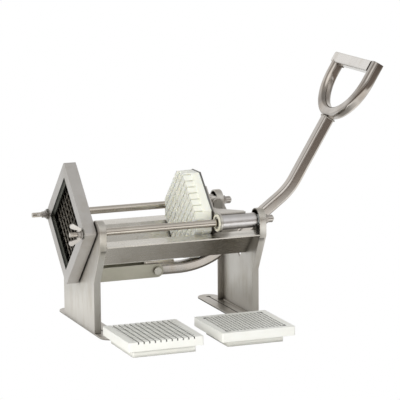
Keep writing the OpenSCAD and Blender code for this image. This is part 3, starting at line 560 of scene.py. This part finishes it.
collar = [lever_top + (SIDE * a + up * b) * BOW_BEAD_OUT for a, b in (*SQUARE, SQUARE[0])]
bead("bow_weld", "lever", collar, BOW_BEAD_R)
far_joint = mid + SIDE * limb_in + along * (LIMB - TUBE_SIDE) - up * FAR_BEAD_DOWN
bead("far_bar_weld", "lever", [far_joint, far_joint + SIDE * FAR_BEAD_LEN], FAR_BEAD_R)
near_joint = bar_mid - SIDE * limb_in + up * NEAR_BEAD_UP
bead("near_bar_weld", "lever", [near_joint + along * x for x in NEAR_BEAD_ENDS], NEAR_BEAD_R)
for label, sx in (("front", -1), ("rear", 1)):
    _, foot_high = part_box(label + "_foot")
    bead(label + "_foot_weld", "stand",
         [(sx * FOOT_BEAD_X, y, foot_high[2]) for y in (-FOOT_BEAD_Y, FOOT_BEAD_Y)], FOOT_BEAD_R)

for label, sy in (("near", -1), ("far", 1)):
    rod_low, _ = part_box(label + "_guide_rod")
    _, nut_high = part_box(label + "_wing_nut")
    thread(label + "_front_thread", sy * ROD_Y, rod_low[0] + THREAD_START, nut_high[0] - THREAD_STOP)

# ----------------------------------------------------------------------- floor
# The camera sees it white. Polished metal sees rings of light and shade round the cutter instead,
# and one even grey on the far side. It lights everything else as a plain matt floor.

FLOOR_SHADES = [(0.00, (0.11, 0.10, 0.09)), (0.04, (0.24, 0.23, 0.21)), (0.09, (0.31, 0.30, 0.28)),
                (0.14, (0.60, 0.59, 0.57)), (0.20, (1.00, 0.99, 0.96)), (0.45, (0.96, 0.95, 0.92)),
                (0.52, (0.60, 0.58, 0.55)), (0.59, (0.24, 0.21, 0.18)), (1.00, (0.20, 0.17, 0.15))]
FLOOR_SPAN = 2.0                        # the radius at the last of FLOOR_SHADES
CUTTER_MID = (0.12, 0, 0)

floor_mesh = bpy.data.meshes.new("floor")
floor_mesh.from_pydata([(-6, -6, 0), (6, -6, 0), (6, 9, 0), (-6, 9, 0)], [], [(0, 1, 2, 3)])
floor = bpy.data.objects.new("floor", floor_mesh)
bpy.context.scene.collection.objects.link(floor)
floor_white = bpy.data.materials.new("floor_white")
floor_mesh.materials.append(floor_white)
nt, surface = blank(floor_white, "Material")
ray = node(nt, "LightPath", {}).outputs
from_mid = position(nt, CUTTER_MID)
radius = span(nt, vector_calc(nt, "LENGTH", from_mid)["Value"], 0.0, 1.0, 0.0, FLOOR_SPAN)
far_side = span(nt, axes(nt, from_mid)[1], 0.0, 1.0, 0.12, 0.30)
shades = mixed(nt, far_side, ramp(nt, radius, FLOOR_SHADES), (0.62, 0.62, 0.61))
matt = node(nt, "BsdfDiffuse", {"Color": (0.84, 0.83, 0.81)}).outputs[0]
other_rays = choose(nt, ray["Is Glossy Ray"], matt, glow(nt, shades, 1.35))
nt.links.new(choose(nt, ray["Is Camera Ray"], other_rays, glow(nt, (1, 1, 1))), surface)

# ----------------------------------------------------------------------- world
# White behind the cutter for the camera. Metal mirrors steps of light and shade by height (0 at the
# horizon, 1 overhead), other ones before the cutter than behind it, and two bright patches.

world = bpy.data.worlds.new("studio")
bpy.context.scene.world = world
nt, surface = blank(world, "World")
direction = node(nt, "TexCoord", {}).outputs["Generated"]
_, away, height = axes(nt, direction)
ray = node(nt, "LightPath", {}).outputs


def sky(colour, strength=1.0):
    """A background of one colour, or of steps of (height, colour)."""
    if isinstance(colour, list):
        colour = ramp(nt, height, colour)
    return node(nt, "Background", {"Color": colour, "Strength": strength}).outputs[0]


def cone(middle, inner, outer):
    """1 within a cone round a direction, 0 outside: inner and outer are cosines."""
    nearness = vector_calc(nt, "DOT_PRODUCT", direction, Vector(middle).normalized())["Value"]
    return span(nt, nearness, 0.0, 1.0, outer, inner)


before = sky([(0.00, (0.26, 0.22, 0.19)), (0.09, (0.22, 0.18, 0.15)), (0.12, (0.80, 0.79, 0.77)),
              (0.17, (0.80, 0.79, 0.77)), (0.20, (0.26, 0.23, 0.20)), (0.32, (0.55, 0.52, 0.49)),
              (0.44, (1.0, 0.99, 0.97)), (0.56, (1.0, 0.99, 0.97)), (0.60, (0.50, 0.47, 0.44)),
              (0.66, (0.95, 0.94, 0.92)), (0.78, (0.80, 0.79, 0.77)), (0.92, (0.58, 0.57, 0.55)),
              (1.0, (0.52, 0.51, 0.49))])
behind = sky([(0.0, (0.62, 0.60, 0.57)), (0.10, (0.84, 0.82, 0.79)), (0.30, (0.96, 0.95, 0.93)),
              (0.42, (0.78, 0.76, 0.73)), (0.60, (0.50, 0.47, 0.44)), (0.75, (0.52, 0.51, 0.49)),
              (1.0, (0.52, 0.51, 0.49))])
LAMP = (1.0, 0.99, 0.97)
mirrored = choose(nt, span(nt, away, 0.0, 1.0, -0.3, 0.3), before, behind)
mirrored = choose(nt, cone((-0.32, 0.92, 0.24), 0.96, 0.86), mirrored, sky(LAMP))
mirrored = choose(nt, cone((-0.45, -0.45, 0.77), 0.95, 0.89), mirrored, sky(LAMP, 1.5))
other_rays = choose(nt, ray["Is Glossy Ray"], sky((0.97, 0.985, 1.0), 0.36), mirrored)
nt.links.new(choose(nt, ray["Is Camera Ray"], other_rays, sky((1, 1, 1))), surface)

# ----------------------------------------------------------------------- lamps
# They light matt surfaces and stay out of the metal's mirror image.

for name, place, aim, size, power in (
        ("key", (-1.95, -1.65, 0.8), (0, 0, 0.15), (2.2, 1.4), 51),
        ("front", (1.0, -2.3, 0.6), (0, 0, 0.15), (1.5, 0.8), 9),
        ("top", (0.2, 0.1, 2.2), (0, 0, 0.1), (2.2, 2.2), 9),
        ("rim", (1.8, 1.0, 1.1), (0, 0, 0.2), (1.2, 1.8), 6)):
    light = bpy.data.lights.new(name, "AREA")
    light.shape = "RECTANGLE"
    light.size, light.size_y = size
    light.energy = power
    lamp = bpy.data.objects.new(name, light)
    lamp.location = place
    lamp.rotation_euler = (Vector(aim) - Vector(place)).to_track_quat("-Z", "Y").to_euler()
    lamp.visible_glossy = False
    bpy.context.scene.collection.objects.link(lamp)

# ---------------------------------------------------------------------- camera

AZ, EL, ROLL = math.radians(-21.22), math.radians(10.48), math.radians(-0.5)
TARGET, DIST = Vector((0.04534, -0.07116, 0.2124)), 3.99357
PHOTO_PX, FOCAL_PX, SENSOR_MM = 400, 2387.02, 36

cam_z = Vector((math.sin(AZ) * math.cos(EL), -math.cos(AZ) * math.cos(EL), math.sin(EL)))
level_x = Vector((math.cos(AZ), math.sin(AZ), 0))
level_y = cam_z.cross(level_x)
cam_x = level_x * math.cos(ROLL) + level_y * math.sin(ROLL)
cam_y = -level_x * math.sin(ROLL) + level_y * math.cos(ROLL)
cam = bpy.data.cameras.new("camera")
cam.sensor_width = SENSOR_MM
cam.lens = FOCAL_PX / PHOTO_PX * SENSOR_MM
cam.clip_end = 50
cam_ob = bpy.data.objects.new("camera", cam)
bpy.context.scene.collection.objects.link(cam_ob)
cam_place = TARGET + cam_z * DIST
cam_ob.matrix_world = Matrix([(*row, 0) for row in (cam_x, cam_y, cam_z)] + [(*cam_place, 1)]).transposed()
bpy.context.scene.camera = cam_ob
bpy.context.scene.view_settings.view_transform = "Standard"
